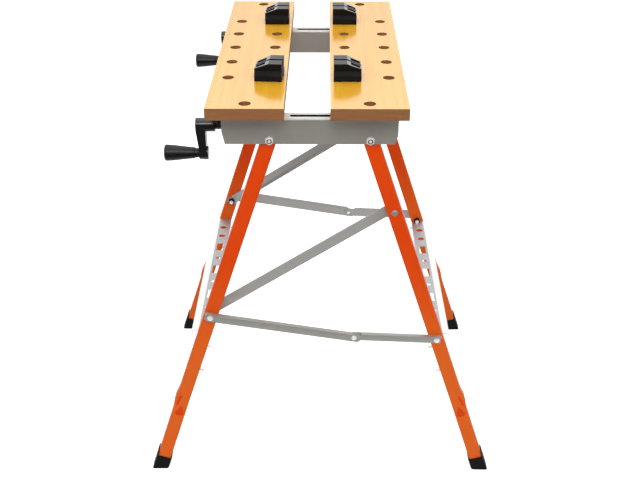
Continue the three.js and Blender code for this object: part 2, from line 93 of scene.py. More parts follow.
class Value:
    """A socket whose Python operators add Math nodes."""

    def __init__(self, shader: "Shader", socket: bpy.types.NodeSocket) -> None:
        """Keeps the socket and the shader it is in."""
        self.shader = shader
        self.socket = socket

    def _math(self, operation: str, *values: Any) -> "Value":
        """Adds one Math node.

        Args:
            operation: the Math node's operation.
            values: its inputs, in order.

        Returns:
            The node's result.
        """
        return self.shader.node("Math", {"operation": operation}, dict(enumerate(values)))

    def __add__(self, other: Any) -> "Value":
        """Sum."""
        return self._math("ADD", self, other)

    def __radd__(self, other: Any) -> "Value":
        """Sum with a number on the left."""
        return self._math("ADD", other, self)

    def __sub__(self, other: Any) -> "Value":
        """Difference."""
        return self._math("SUBTRACT", self, other)

    def __rsub__(self, other: Any) -> "Value":
        """Difference with a number on the left."""
        return self._math("SUBTRACT", other, self)

    def __mul__(self, other: Any) -> "Value":
        """Product."""
        return self._math("MULTIPLY", self, other)

    def __truediv__(self, other: Any) -> "Value":
        """Quotient."""
        return self._math("DIVIDE", self, other)

    def __abs__(self) -> "Value":
        """Size without sign."""
        return self._math("ABSOLUTE", self)

    def __gt__(self, other: Any) -> "Value":
        """1 where this is the greater."""
        return self._math("GREATER_THAN", self, other)

    def __lt__(self, other: Any) -> "Value":
        """1 where this is the smaller."""
        return self._math("LESS_THAN", self, other)

    def maximum(self, other: Any) -> "Value":
        """The greater of two values."""
        return self._math("MAXIMUM", self, other)

    def wrapped(self) -> "Value":
        """What is left after the whole number."""
        return self._math("FRACT", self)

    def step(self, low: float, high: float) -> "Value":
        """Rises smoothly from 0 at low to 1 at high.

        Args:
            low: where the rise starts.
            high: where it ends; below low, the step falls instead.

        Returns:
            The stepped value.
        """
        settings = {"interpolation_type": "SMOOTHSTEP", "clamp": True}
        return self.shader.node("MapRange", settings, {0: self, 1: low, 2: high, 3: 0.0, 4: 1.0})


class Shader:
    """The node tree of a material or a world."""

    def __init__(self, owner: Any) -> None:
        """Starts an empty tree.

        Args:
            owner: a new material's name, or the world that has the tree.
        """
        self.material = bpy.data.materials.new(owner) if isinstance(owner, str) else owner
        self.material.use_nodes = True
        self.tree = self.material.node_tree
        self.tree.nodes.clear()

    def node(
        self,
        kind: str,
        settings: Optional[dict[str, Any]] = None,
        inputs: Optional[dict[Any, Any]] = None,
        output: Any = 0,
    ) -> Value:
        """Adds a node.

        Args:
            kind: the node's type without its ShaderNode prefix.
            settings: its properties.
            inputs: numbers, colours or links by socket name or number.
            output: the output that is wanted.

        Returns:
            That output.
        """
        made = self.tree.nodes.new("ShaderNode" + kind)
        for key, value in (settings or {}).items():
            setattr(made, key, value)
        for key, value in (inputs or {}).items():
            if isinstance(value, Value):
                self.tree.links.new(value.socket, made.inputs[key])
            else:
                made.inputs[key].default_value = value
        return Value(self, made.outputs[output]) if len(made.outputs) else Value(self, None)

    def place(self) -> Value:
        """Object coordinates."""
        return self.node("TexCoord", output="Object")

    def split(self, vector: Value) -> tuple[Value, Value, Value]:
        """The three parts of a vector."""
        first = self.node("SeparateXYZ", inputs={0: vector})
        outs = first.socket.node.outputs
        return Value(self, outs[0]), Value(self, outs[1]), Value(self, outs[2])

    def scaled(self, vector: Value, scale: Sequence[float]) -> Value:
        """A vector stretched by a Mapping node."""
        return self.node("Mapping", inputs={"Vector": vector, "Scale": scale})

    def rays(self, *kinds: str) -> Value:
        """1 for rays of any of some kinds, by the Light Path node's output names."""
        outs = self.node("LightPath").socket.node.outputs
        first, *others = (Value(self, outs[kind]) for kind in kinds)
        for other in others:
            first = first.maximum(other)
        return first

    def noise(self, vector: Value, scale: float, detail: float = 3.0, roughness: float = 0.55) -> Value:
        """Noise from 0 to 1.

        Args:
            vector: where it is read.
            scale: how fine it is.
            detail: how many finer layers it has.
            roughness: how strong those are.

        Returns:
            The noise.
        """
        inputs = {"Vector": vector, "Scale": scale, "Detail": detail, "Roughness": roughness}
        return self.node("TexNoise", inputs=inputs)

    def mix(self, factor: Any, first: Any, second: Any) -> Value:
        """One colour over another.

        Args:
            factor: how much of the second there is.
            first: the lower colour.
            second: the upper colour.

        Returns:
            The mixed colour.
        """
        return self.node("Mix", {"data_type": "RGBA"}, {0: factor, 6: opaque(first), 7: opaque(second)}, 2)

    def bump(self, height: Value, distance: float, strength: float = 1.0) -> Value:
        """A normal tilted by a height."""
        return self.node("Bump", inputs={"Height": height, "Distance": distance, "Strength": strength})

    def finish(self, inputs: dict[str, Any]) -> bpy.types.Material:
        """Ends the tree with a Principled shader.

        Args:
            inputs: the shader's inputs by name.

        Returns:
            The material.
        """
        made = {key: opaque(value) if key == "Base Color" else value for key, value in inputs.items()}
        return self.end(self.node("BsdfPrincipled", inputs=made))

    def end(self, surface: Value) -> bpy.types.Material:
        """Links a shader to the output and gives the material."""
        self.node("OutputMaterial", inputs={"Surface": surface})
        return self.material


def opaque(colour: Any) -> Any:
    """A colour of three numbers with an alpha of 1, and anything else as it is."""
    if isinstance(colour, (tuple, list)) and len(colour) == 3:
        return (*colour, 1.0)
    return colour


# Finishes


@dataclass(frozen=True)
class Varnish:
    """Light wood under a glossy clear coat, with grain along the board and optional rule marks."""

    name: str
    pale: tuple[float, float, float] = (0.985, 0.54, 0.036)
    deep: tuple[float, float, float] = (0.955, 0.445, 0.02)
    streak: tuple[float, float, float] = (0.81, 0.28, 0.011)
    rule_from: Optional[float] = None
    shift: float = 0.0

    def material(self) -> bpy.types.Material:
        """Builds the wood's material."""
        s = Shader(self.name)
        at = s.place()
        x, y, _ = s.split(at)
        warp = s.noise(s.scaled(at, (9.0, 1.2, 9.0)), 1.0, 2.0)
        moved = s.node("CombineXYZ", inputs={0: x + warp * 0.012 + self.shift, 1: y, 2: 0.0})
        figure = s.noise(s.scaled(moved, (95.0, 1.7, 1.0)), 1.0, 4.0, 0.6)
        fibre = s.noise(s.scaled(moved, (900.0, 9.0, 1.0)), 1.0, 3.0, 0.6)
        cloud = s.noise(s.scaled(at, (10.0, 4.0, 10.0)), 1.0, 2.0)
        wood = s.mix(figure.step(0.32, 0.7), self.pale, self.deep)
        wood = s.mix(fibre.step(0.5, 0.72) * 0.6, wood, self.streak)
        wood = s.mix(cloud.step(0.45, 0.8) * 0.25, wood, self.deep)
        if self.rule_from is not None:
            wood = s.mix(self._rule(x, y) * 0.6, wood, (0.42, 0.13, 0.02))
        rough = 0.2 + figure * 0.1
        return s.finish(
            {
                "Base Color": wood,
                "Roughness": rough,
                "Specular IOR Level": 0.0,
                "Coat Weight": 1.0,
                "Coat Roughness": 0.17,
                "Coat IOR": 3.5,
                "Normal": s.bump(fibre * 0.6 + figure * 0.4, 0.00012, 0.35),
            }
        )

    def _rule(self, x: Value, y: Value) -> Value:
        """Short marks every 10 mm and longer ones every 50 mm along the outer edge.

        Args:
            x: place across the board.
            y: place along the board.

        Returns:
            1 on a mark and 0 beside it.
        """
        from_edge = x - self.rule_from
        short = (abs((y / 0.01).wrapped() - 0.5) < 0.1) * (from_edge < 0.0075)
        long = (abs((y / 0.05).wrapped() - 0.5) < 0.02) * (from_edge < 0.012)
        return short.maximum(long) * (from_edge > 0.0035)


@dataclass(frozen=True)
class CutWood:
    """The brown sealed edges and holes of a board."""

    name: str = "sealed_wood_edge"
    base: tuple[float, float, float] = (0.277, 0.116, 0.038)
    dark: tuple[float, float, float] = (0.19, 0.073, 0.026)

    def material(self) -> bpy.types.Material:
        """Builds the edge's material."""
        s = Shader(self.name)
        at = s.place()
        plies = s.noise(s.scaled(at, (14.0, 14.0, 520.0)), 1.0, 3.0)
        fleck = s.noise(s.scaled(at, (260.0, 60.0, 260.0)), 1.0, 4.0)
        wood = s.mix(plies.step(0.35, 0.7) * 0.6, self.base, self.dark)
        wood = s.mix(fleck.step(0.55, 0.8) * 0.5, wood, (0.36, 0.17, 0.075))
        return s.finish(
            {
                "Base Color": wood,
                "Roughness": 0.5 + fleck * 0.2,
                "Specular IOR Level": 0.35,
                "Normal": s.bump(fleck * 0.5 + plies * 0.5, 0.0003, 0.4),
            }
        )


@dataclass(frozen=True)
class Paint:
    """Paint baked on metal, with a faint peel, uneven depth, optional metal flake and an optional painted
    floor sheen that pales its lower part.
    """

    name: str
    base: tuple[float, float, float]
    light: tuple[float, float, float]
    dark: tuple[float, float, float]
    roughness: float = 0.36
    shine: float = 0.4
    gloss: float = 0.0
    flake: float = 0.0
    peel: float = 0.00006
    painted_floor_sheen: Optional[tuple[float, float, float]] = None

    def material(self) -> bpy.types.Material:
        """Builds the paint's material."""
        s = Shader(self.name)
        at = s.place()
        depth = s.noise(at, 14.0, 3.0)
        grain = s.noise(at, 900.0, 2.0)
        scuff = s.noise(s.scaled(at, (60.0, 60.0, 9.0)), 1.0, 5.0, 0.65)
        colour = s.mix(depth.step(0.3, 0.75) * 0.5, self.base, self.light)
        colour = s.mix(scuff.step(0.58, 0.85) * 0.3, colour, self.dark)
        # Painted reflection: the paint pales towards the bottom, fully below 0.24 m, standing in for the
        # white floor's sheen on the lower legs.
        if self.painted_floor_sheen is not None:
            colour = s.mix(s.split(at)[2].step(0.5, 0.24), colour, self.painted_floor_sheen)
        rough = self.roughness + scuff * 0.12 + grain * 0.04
        return s.finish(
            {
                "Base Color": colour,
                "Roughness": rough,
                "Metallic": self.flake,
                "Specular IOR Level": self.shine,
                "Coat Weight": self.gloss,
                "Coat Roughness": 0.16,
                "Coat IOR": 2.3,
                "Normal": s.bump(grain, self.peel, 0.5),
            }
        )


@dataclass(frozen=True)
class Plate:
    """Bright plated steel with a soft spangle and fine drawing lines."""

    name: str
    base: tuple[float, float, float] = (0.80, 0.81, 0.82)
    dull: tuple[float, float, float] = (0.60, 0.61, 0.62)
    roughness: float = 0.3
    metal: float = 0.55

    def material(self) -> bpy.types.Material:
        """Builds the plating's material."""
        s = Shader(self.name)
        at = s.place()
        spangle = s.noise(at, 95.0, 3.0)
        fine = s.noise(s.scaled(at, (420.0, 24.0, 420.0)), 1.0, 2.0)
        colour = s.mix(spangle.step(0.35, 0.75) * 0.6, self.base, self.dull)
        return s.finish(
            {
                "Base Color": colour,
                "Metallic": self.metal,
                "Roughness": self.roughness + spangle * 0.16 + fine * 0.06,
                "Normal": s.bump(fine, 0.00005, 0.3),
            }
        )


@dataclass(frozen=True)
class Moulding:
    """Black moulded plastic with a fine grain and rubbed patches."""

    name: str
    base: tuple[float, float, float] = (0.0055, 0.0055, 0.0058)
    rubbed: tuple[float, float, float] = (0.013, 0.013, 0.0135)
    roughness: float = 0.12
    shine: float = 0.5
    polish: float = 0.0
    grain: float = 700.0

    def material(self) -> bpy.types.Material:
        """Builds the plastic's material."""
        s = Shader(self.name)
        at = s.place()
        fine = s.noise(at, self.grain, 2.0)
        patch = s.noise(at, 38.0, 4.0, 0.6)
        colour = s.mix(patch.step(0.45, 0.8) * 0.6, self.base, self.rubbed)
        return s.finish(
            {
                "Base Color": colour,
                "Roughness": self.roughness + patch * 0.1 + fine * 0.05,
                "Specular IOR Level": self.shine,
                "Coat Weight": self.polish,
                "Coat Roughness": 0.1,
                "Coat IOR": 2.6,
                "Normal": s.bump(fine, 0.00005, 0.3),
            }
        )


class Finishes:
    """Every finish on the bench, built once."""

    def __init__(self) -> None:
        """Builds the materials."""
        self.board_fixed = Varnish("varnished_board_fixed", rule_from=-0.183).material()
        self.board_moving = Varnish("varnished_board_moving", shift=0.37).material()
        self.edge = CutWood().material()
        orange = ((0.71, 0.054, 0.001), (0.77, 0.072, 0.002), (0.56, 0.038, 0.001))
        # The legs' orange carries a painted sheen of the white floor on its lower part.
        self.orange = Paint(
            "orange_leg_paint", *orange, roughness=0.24, shine=0.1, painted_floor_sheen=(0.76, 0.125, 0.012)
        ).material()
        # The dents take the orange without the painted floor sheen, so they stay darker: painted shade in the
        # dents.
        self.dent_without_sheen = Paint("orange_dent_painted_shade", *orange, roughness=0.24, shine=0.1).material()
        self.grey = Paint(
            "grey_channel_paint", (0.39, 0.37, 0.336), (0.43, 0.41, 0.376), (0.31, 0.292, 0.264),
            shine=0.2, gloss=0.6, flake=0.45,
        ).material()
        self.diagonal = Paint(
            "grey_diagonal_paint", (0.36, 0.356, 0.337), (0.40, 0.396, 0.377), (0.30, 0.296, 0.277),
            shine=0.0, gloss=1.0,
        ).material()
        # Paler copy of the channel's grey for its top faces: a painted sheen.
        self.painted_top_sheen = Paint(
            "grey_channel_top_painted_sheen", (0.66, 0.652, 0.632), (0.70, 0.692, 0.672), (0.58, 0.572, 0.552),
            shine=0.2, gloss=0.6, flake=0.45,
        ).material()
        # The rear diagonal's copy of the grey paint has a darker base: painted shade at the rear end.
        self.rear_diagonal = Paint(
            "grey_rear_diagonal_painted_shade", (0.30, 0.291, 0.277), (0.335, 0.326, 0.312), (0.25, 0.242, 0.229),
            shine=0.0, gloss=1.0,
        ).material()
        self.brace = Paint(
            "grey_brace_paint", (0.43, 0.426, 0.40), (0.475, 0.471, 0.445), (0.36, 0.356, 0.33), flake=0.7
        ).material()
        # The rear braces' copy of the grey paint has a darker base: painted shade at the rear end.
        self.shaded_rear_brace = Paint(
            "grey_rear_brace_painted_shade", (0.21, 0.203, 0.187), (0.245, 0.238, 0.222), (0.16, 0.153, 0.138),
            shine=0.0, gloss=1.0,
        ).material()
        self.zinc = Plate("bright_zinc", (0.94, 0.945, 0.95), (0.80, 0.805, 0.81), 0.24, 0.3).material()
        self.dull = Plate("dull_zinc", (0.36, 0.37, 0.38), (0.28, 0.29, 0.30)).material()
        self.shelf = Plate("shelf_zinc", (0.52, 0.532, 0.535), (0.425, 0.437, 0.44), 0.34, 0.9).material()
        # Near-white copy of the shelf's zinc for its outer lip: a painted highlight.
        self.lip = Plate("shelf_lip_painted_highlight", (0.99, 0.99, 0.99), (0.98, 0.98, 0.98), 0.14, 1.0).material()
        self.black = Moulding("black_moulding").material()
        self.matt = Moulding("matt_black_moulding", roughness=0.42, shine=0.07).material()
        self.polished = Moulding("polished_black_moulding", polish=1.0).material()
        self.grip = Moulding("black_grip", roughness=0.3, shine=0.25).material()
        self.rubber = Moulding("foot_rubber", roughness=0.4, shine=0.06, grain=420.0).material()
        # Dark finish for the nuts inside the legs and the ring round the lock nuts' bolt ends: painted shade.
        self.dark = Moulding("lock_nut_painted_shade", roughness=0.4, shine=0.1).material()


# Mesh work


class Shape:
    """A mesh under construction, in metres in the bench's frame."""

    def __init__(self) -> None:
        """Starts with nothing."""
        self.bm = bmesh.new()

    @classmethod
    def copied(cls, source: bpy.types.Object) -> "Shape":
        """A CAD node's solid with its triangles merged into flat faces.

        Args:
            source: the node's object.

        Returns:
            The shape.
        """
        shape = cls()
        shape.bm.from_mesh(source.data)
        bmesh.ops.remove_doubles(shape.bm, verts=shape.bm.verts, dist=2e-6)
        bmesh.ops.dissolve_limit(
            shape.bm,
            angle_limit=math.radians(0.6),
            verts=shape.bm.verts,
            edges=shape.bm.edges,
        )
        return shape

    def turned(
        self,
        profile: Sequence[tuple[float, float]],
        centre: Vector,
        axis: Axis,
        steps: int = 32,
    ) -> "Shape":
        """Adds a turned body.

        Args:
            profile: millimetre pairs of radius and place along the axis, from axis to axis.
            centre: a point on the axis, in metres.
            axis: the direction of the axis.
            steps: facets round the axis.

        Returns:
            This shape.
        """
        along = Vector(axis.value)
        across = Vector((0.0, 0.0, 1.0))
        points = [self.bm.verts.new(centre + across * (r * MM) + along * (t * MM)) for r, t in profile]
        lines = [self.bm.edges.new(pair) for pair in zip(points, points[1:])]
        bmesh.ops.spin(
            self.bm,
            geom=[*points, *lines],
            cent=centre,
            axis=along,
            dvec=(0.0, 0.0, 0.0),
            angle=math.tau,
            steps=steps,
            use_merge=True,
            use_duplicate=False,
        )
        self._mend()
        return self

    def thread(self, start: Vector, length: float, radius: float, pitch: float, depth: float) -> "Shape":
        """Adds a screw thread along X as one closed helical rib.

        Args:
            start: where the thread starts on its axis, in metres.
            length: how far it runs, in millimetres.
            radius: its outer radius, in millimetres.
            pitch: how far it goes in one turn, in millimetres.
            depth: how far it stands out, in millimetres.

        Returns:
            This shape.
        """
        turns = length / pitch
        steps = int(turns * 14)
        low = (radius - depth) * MM
        section = [(low - 0.4 * MM, 0.0), (low - 0.4 * MM, pitch * 0.8), (radius * MM, pitch * 0.4)]
        points = [self.bm.verts.new(start + Vector((t * MM, 0.0, r))) for r, t in section]
        face = self.bm.faces.new(points)
        bmesh.ops.spin(
            self.bm,
            geom=[face],
            cent=start,
            axis=(1.0, 0.0, 0.0),
            dvec=(length * MM / steps, 0.0, 0.0),
            angle=math.tau * turns,
            steps=steps,
            use_merge=False,
            use_duplicate=False,
        )
        bmesh.ops.recalc_face_normals(self.bm, faces=self.bm.faces)
        return self

    def hexagon(
        self,
        radius: float,
        start: float,
        height: float,
        centre: Vector,
        chamfer: float = 0.7,
    ) -> "Shape":
        """Adds a hexagonal head or nut that stands along Y.

        Args:
            radius: to its corners, in millimetres.
            start: where it starts along Y from the centre, in millimetres.
            height: its signed height along Y, in millimetres.
            centre: a point on its axis, in metres.
            chamfer: the size of its broken edges, in millimetres.

        Returns:
            This shape.
        """
        turn = Matrix.Rotation(math.radians(90.0), 4, "X")
        at = Matrix.Translation(centre + Vector((0.0, start * MM, 0.0))) @ turn
        ring = bmesh.ops.create_circle(self.bm, cap_ends=True, radius=radius * MM, segments=6, matrix=at)
        face = next(f for f in ring["verts"][0].link_faces)
        top = bmesh.ops.extrude_face_region(self.bm, geom=[face])
        moved = [g for g in top["geom"] if isinstance(g, bmesh.types.BMVert)]
        bmesh.ops.translate(self.bm, verts=moved, vec=(0.0, height * MM, 0.0))
        rim = [e for e in self.bm.edges if e.verts[0] in moved and e.verts[1] in moved]
        self._bevel(rim, chamfer, 2)
        bmesh.ops.recalc_face_normals(self.bm, faces=self.bm.faces)
        return self

    def sleeve(self, rings: Sequence[Sequence[Vector]]) -> "Shape":
        """Adds a skin through closed rings of points, bridged one to the next, with rings that meet merged.

        Args:
            rings: rings of as many points each.

        Returns:
            This shape.
        """
        loops = []
        for ring in rings:
            points = [self.bm.verts.new(p) for p in ring]
            loops.append([self.bm.edges.new(pair) for pair in zip(points, points[1:] + points[:1])])
        for lower, upper in zip(loops, loops[1:]):
            bmesh.ops.bridge_loops(self.bm, edges=[*lower, *upper])
        self._mend()
        return self

    def bevelled(self, width: float, segments: int = 2, angle: float = 28.0) -> "Shape":
        """Rounds every edge that is sharper than an angle.

        Args:
            width: the bevel's width, in millimetres.
            segments: its steps.
            angle: the least angle, in degrees.

        Returns:
            This shape.
        """
        least = math.radians(angle)
        sharp = [e for e in self.bm.edges if len(e.link_faces) == 2 and e.calc_face_angle(0.0) > least]
        self._bevel(sharp, width, segments)
        return self

    def _bevel(self, edges: Sequence[bmesh.types.BMEdge], width: float, segments: int) -> None:
        """Bevels edges by a width in millimetres."""
        bmesh.ops.bevel(
            self.bm,
            geom=list(edges),
            offset=width * MM,
            offset_type="OFFSET",
            affect="EDGES",
            segments=segments,
            profile=0.5,
            material=-1,
            clamp_overlap=True,
        )

    def _mend(self) -> None:
        """Merges doubles and turns faces outwards."""
        bmesh.ops.remove_doubles(self.bm, verts=self.bm.verts, dist=1e-6)
        bmesh.ops.recalc_face_normals(self.bm, faces=self.bm.faces)

    def moved(self, matrix: Matrix) -> "Shape":
        """Moves everything by a matrix."""
        bmesh.ops.transform(self.bm, matrix=matrix, verts=self.bm.verts)
        return self

    def painted(self, index: int, test: Callable[[bmesh.types.BMFace], bool]) -> "Shape":
        """Gives a material number to the faces that pass a test."""
        for face in self.bm.faces:
            if test(face):
                face.material_index = index
        return self

    def piece(
        self,
        name: str,
        materials: Sequence[bpy.types.Material],
        body: str,
        slot: Slot,
        nodes: Sequence[str] = (),
        smooth: float = 38.0,
    ) -> bpy.types.Object:
        """Ends the shape as a piece that rides on a body.

        Args:
            name: the piece's name.
            materials: its materials in number order.
            body: the body it rides on.
            slot: the record's slot; not used.
            nodes: the CAD nodes it stands for.
            smooth: the angle below which edges are shaded smooth, in degrees.

        Returns:
            The piece.
        """
        mesh = bpy.data.meshes.new(name)
        self.bm.to_mesh(mesh)
        self.bm.free()
        for material in materials:
            mesh.materials.append(material)
        for polygon in mesh.polygons:
            polygon.use_smooth = True
        mesh.set_sharp_from_angle(angle=math.radians(smooth))
        made = bpy.data.objects.new(name, mesh)
        bpy.context.scene.collection.objects.link(made)
        weighted = made.modifiers.new("even_shading", "WEIGHTED_NORMAL")
        weighted.keep_sharp = True
        weighted.weight = 80
        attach(made, body)
        if nodes:
            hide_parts(*nodes)
        LOG.info("%s on %s: %d faces", name, body, len(mesh.polygons))
        return made


# Sub-assemblies


@dataclass
class Bench:
    """What every sub-assembly needs: the frame and the finishes."""

    frame: dict[str, Any]
    finishes: Finishes

    def eased(
        self,
        node: str,
        materials: Sequence[bpy.types.Material],
        body: str,
        slot: Slot,
        width: float,
        segments: int = 2,
        angle: float = 28.0,
    ) -> bpy.types.Object:
        """Stands a copy of a CAD node with rounded edges in its place.

        Args:
            node: the node.
            materials: the piece's materials.
            body: the body it rides on.
            slot: the record's slot.
            width: how far its edges are rounded, in millimetres.
            segments: the rounding's steps.
            angle: the least angle of an edge that is rounded, in degrees.

        Returns:
            The piece.
        """
        shape = Shape.copied(self.frame["nodes"][node]).bevelled(width, segments, angle)
        return shape.piece(f"{node}_dressed", materials, body, slot, [node])


@dataclass
class Worktop(Bench):
    """The two boards with varnished faces and jaws, and sealed edges."""

    rounding: float = 1.1
    jaw: float = 0.0385

    def build(self) -> None:
        """Makes both boards."""
        for node, body, face in (
            ("fixed_board", "top_frame", self.finishes.board_fixed),
            ("moving_board", "moving_jaw", self.finishes.board_moving),
        ):
            shape = Shape.copied(self.frame["nodes"][node])
            shape.painted(1, lambda f: abs(f.normal.z) < 0.5 and abs(f.calc_center_median().x) > self.jaw)
            shape.bevelled(self.rounding, 3, 40.0)
            shape.painted(0, lambda f: f.normal.z > 0.35)
            shape.piece(f"{node}_dressed", [face, self.finishes.edge], body, Slot.WOOD, [node])


@dataclass
class EndFrames(Bench):
    """The end channels with their risers, bolts and bushes."""

    pivot_x: float = 0.084
    pivot_z: float = 0.708
    hollow: tuple[float, float] = (0.2205, 0.2485)
    roof: float = 0.7455

    def build(self) -> None:
        """Makes both ends."""
        grey = [self.finishes.grey]
        for end, sign in ENDS.items():
            self.channel(f"{end}_channel")
            self.eased(f"{end}_fixed_riser", grey, "top_frame", Slot.GREY, 0.6)
            self.eased(f"{end}_moving_riser", grey, "moving_jaw", Slot.GREY, 0.6)
            self.eased(f"{end}_screw_bush", [self.finishes.black], "top_frame", Slot.BLACK, 0.8)
            self.eased(f"{end}_fixed_bolt", [self.finishes.zinc], "top_frame", Slot.ZINC, 0.8)
            self.eased(f"{end}_moving_bolt", [self.finishes.zinc], "moving_jaw", Slot.ZINC, 0.8)
            for side, across in SIDES.items():
                self.pivot_bolt(f"{side}_{end}_pivot_bolt", across, sign)

    def channel(self, node: str) -> None:
        """Makes an end channel in grey paint, with a painted sheen on its paler top faces and painted shade,
        in black, inside its hollow.

        Args:
            node: the node it stands for.
        """
        low, high = self.hollow
        shape = Shape.copied(self.frame["nodes"][node])

        def inside(face: bmesh.types.BMFace) -> bool:
            """Whether a face is in the channel's hollow."""
            at = face.calc_center_median()
            return low < abs(at.y) < high and at.z < self.roof

        # Painted shade: the hollow's faces, slot walls included, are painted black where shade falls inside
        # the channel.
        shape.painted(1, inside)
        # Painted sheen: the channel's top faces take the paler copy of the grey.
        shape.painted(2, lambda f: f.normal.z > 0.9 and f.calc_center_median().z > self.roof)
        shape.bevelled(0.7)
        materials = [self.finishes.grey, self.finishes.black, self.finishes.painted_top_sheen]
        shape.piece(f"{node}_dressed", materials, "top_frame", Slot.GREY, [node])

    def pivot_bolt(self, node: str, across: int, sign: int) -> None:
        """Makes a leg's pivot bolt with a lock nut outside and a head inside the leg.

        Args:
            node: the node it stands for.
            across: -1 on the left and 1 on the right.
            sign: -1 at the front end and 1 at the rear end.
        """
        centre = Vector((across * self.pivot_x, 0.0, self.pivot_z))
        stem = [
            (0.0, 212.4), (3.4, 212.4), (4.0, 213.2), (4.0, 250.4),
            (2.7, 250.5), (2.7, 255.5), (2.2, 256.0), (0.0, 256.0),
        ]
        collar = [
            (0.0, 253.8), (6.2, 253.8), (5.9, 254.8), (5.2, 255.3), (4.6, 255.3), (4.5, 254.7), (0.0, 254.6),
        ]
        shape = Shape()
        for profile in (collar, stem):
            shape.turned([(r, sign * t) for r, t in profile], centre, Axis.Y)
        # Painted shade: the ring round the bolt end takes the dark finish.
        shape.painted(1, lambda f: self.on_shaded_ring(f, centre))
        shape.hexagon(7.4, sign * 250.0, sign * 4.2, centre, 0.5)
        shape.hexagon(7.2, sign * 219.1, sign * -6.1, centre)
        materials = [self.finishes.zinc, self.finishes.dark]
        shape.piece(f"{node}_dressed", materials, "top_frame", Slot.ZINC, [node])

    @staticmethod
    def on_shaded_ring(face: bmesh.types.BMFace, centre: Vector) -> bool:
        """Whether a face is on the ring round the lock nut's bolt end that is painted dark as painted shade
        of the gap there.
        """
        away = [(v.co - centre) / MM for v in face.verts]
        inner, outer = 254.5, 254.75
        return all(math.hypot(v.x, v.z) < 4.65 and inner < abs(v.y) < outer for v in away)


@dataclass
class Vice(Bench):
    """Screws, cranks, knobs and carriages."""

    screw_z: float = 0.7295
    screw_out: float = 0.2345
    crank_radius: float = 0.051
    knob_start: float = -0.2036
    knob_length: float = 58.4
    shaft: tuple[float, float] = (-198.5, 100.0)
    lead: float = 4.0

    def build(self) -> None:
        """Makes both ends of the vice."""
        for end, sign in ENDS.items():
            body = f"{end}_crank"
            centre = Vector((0.0, sign * self.screw_out, self.screw_z))
            self.screw(end, centre)
            self.eased(f"{end}_crank_arm", [self.finishes.black], body, Slot.BLACK, 1.3, 3)
            self.eased(f"{end}_knob_pin", [self.finishes.zinc], body, Slot.ZINC, 0.5)
            self.eased(f"{end}_carriage", [self.finishes.zinc], "moving_jaw", Slot.ZINC, 0.8)
            self.knob(end, centre)

    def screw(self, end: str, centre: Vector) -> None:
        """Makes a vice screw with a real thread.

        Args:
            end: the end of the bench.
            centre: a point on the screw's axis.
        """
        low, high = self.shaft
        profile = [
            (0.0, low), (4.6, low), (5.0, low + 0.8), (5.0, -160.2), (7.5, -160.1), (8.0, -159.5),
            (8.0, -155.6), (7.5, -155.0), (4.1, -154.9), (4.1, high - 1.0), (3.4, high), (0.0, high),
        ]
        shape = Shape().turned(profile, centre, Axis.X)
        start = centre + Vector((-150.0 * MM, 0.0, 0.0))
        shape.thread(start, length=246.0, radius=5.0, pitch=self.lead, depth=0.9)
        node = f"{end}_vice_screw"
        shape.piece(f"{node}_dressed", [self.finishes.zinc], f"{end}_crank", Slot.ZINC, [node])

    def knob(self, end: str, centre: Vector) -> None:
        """Makes a turning knob: a tapered handle with a soft end and a collar.

        Args:
            end: the end of the bench.
            centre: a point on the screw's axis.
        """
        length = self.knob_length
        start = Vector((self.knob_start, centre.y, self.screw_z - self.crank_radius))
        outline = [
            (4.5, length - 6.0), (4.5, 0.0), (7.2, 0.0), (7.8, 0.5), (8.0, 3.0), (8.2, 6.4), (9.0, 6.7),
            (9.4, 7.5), (9.8, 12.0), (10.6, 20.0), (11.5, 29.0), (12.4, 36.0), (13.2, 44.0),
            (13.8, length - 6.0), (13.9, length - 4.0), (13.7, length - 2.3), (13.0, length - 1.0),
            (11.6, length - 0.3), (9.0, length), (0.0, length),
        ]
        profile = [(0.0, length - 6.0), *outline]
        shape = Shape().turned([(r, -t) for r, t in profile], start, Axis.X, 48)
        shape.piece(f"{end}_knob_dressed", [self.finishes.grip], f"{end}_knob", Slot.BLACK, [f"{end}_knob"])


@dataclass
class Dogs(Bench):
    """Four grooved clamping dogs with glossy tops, rubbed slopes and matt sides."""

    rounding: float = 0.55
    slope_length: float = 0.024
    slope_fall: float = 0.408

    def build(self) -> None:
        """Makes the dogs."""
        for side, across in SIDES.items():
            for end in ENDS:
                self.dog(f"{side}_{end}_dog", across)

    def dog(self, node: str, across: int) -> None:
        """Makes one dog.

        Args:
            node: the node it stands for.
            across: -1 where its slope falls to the left and 1 where it falls to the right.
        """
        shape = Shape.copied(self.frame["nodes"][node])
        outer = max(across * v.co.x for v in shape.bm.verts)
        top = max(v.co.z for v in shape.bm.verts)

        def on_slope(face: bmesh.types.BMFace) -> bool:
            """Whether a face lies on the slope and not on the floor of a pocket or the groove."""
            at = face.calc_center_median()
            along = across * at.x - outer + self.slope_length
            return across * face.normal.x > 0.25 and abs(at.z - top + along * self.slope_fall) < 0.0016

        shape.painted(1, lambda f: f.normal.z < 0.97)
        shape.painted(2, on_slope)
        shape.bevelled(self.rounding, 3)
        materials = [self.finishes.black, self.finishes.matt, self.finishes.polished]
        shape.piece(f"{node}_dressed", materials, node, Slot.BLACK, [node])


